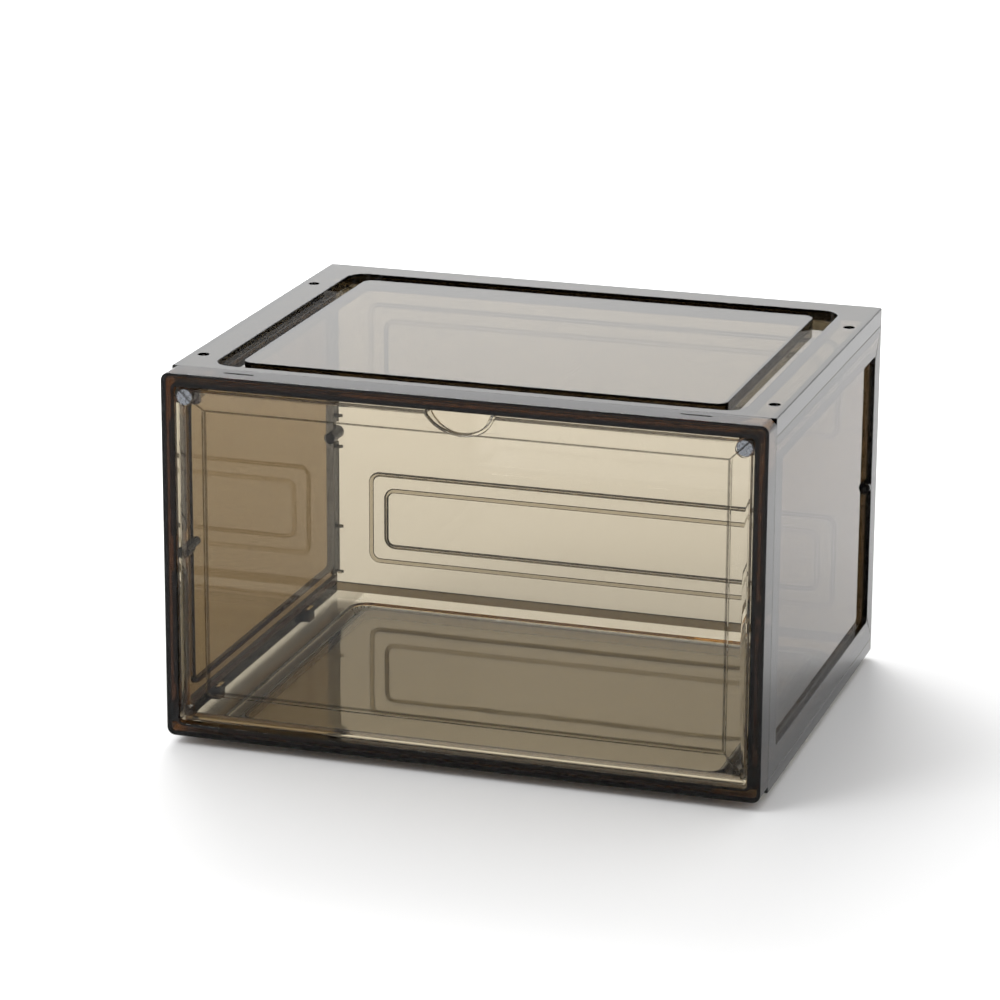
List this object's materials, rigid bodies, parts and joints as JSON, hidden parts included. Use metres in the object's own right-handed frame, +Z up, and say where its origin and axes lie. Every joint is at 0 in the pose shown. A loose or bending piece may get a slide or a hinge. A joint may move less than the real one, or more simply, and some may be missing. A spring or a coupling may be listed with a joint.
{
  "type": "shoe box",
  "caption": "Stackable tinted clear box for a pair of shoes, with a clear drop-down front door, a thumb notch, magnetic closing and recessed panels.",
  "frame": {"origin": "middle of the footprint, on the surface that the box stands on", "axes": "+X to the right seen from the front, +Y from the front to the back, +Z up"},
  "size_m": [0.36, 0.286, 0.2266],
  "materials": {
    "smoke_plastic": "gloss",
    "dark_smoke_plastic": "gloss",
    "clear_plastic": "gloss",
    "magnet_metal": "gloss"
  },
  "bodies": {
    "box": {"bottom_panel": "smoke_plastic", "top_panel": "smoke_plastic", "left_side_panel": "smoke_plastic", "right_side_panel": "smoke_plastic", "back_panel": "smoke_plastic", "front_frame": "dark_smoke_plastic", "frame_magnet_left": "magnet_metal", "frame_magnet_right": "magnet_metal"},
    "door": {"door": "clear_plastic", "door_magnet_left": "magnet_metal", "door_magnet_right": "magnet_metal"}
  },
  "joints": [
    {"name": "door_hinge", "type": "hinge", "parent": "box", "child": "door", "pos_m": [0, -0.138, 0.0218], "axis": [1, 0, 0], "range_deg": [0, 95]}
  ]
}
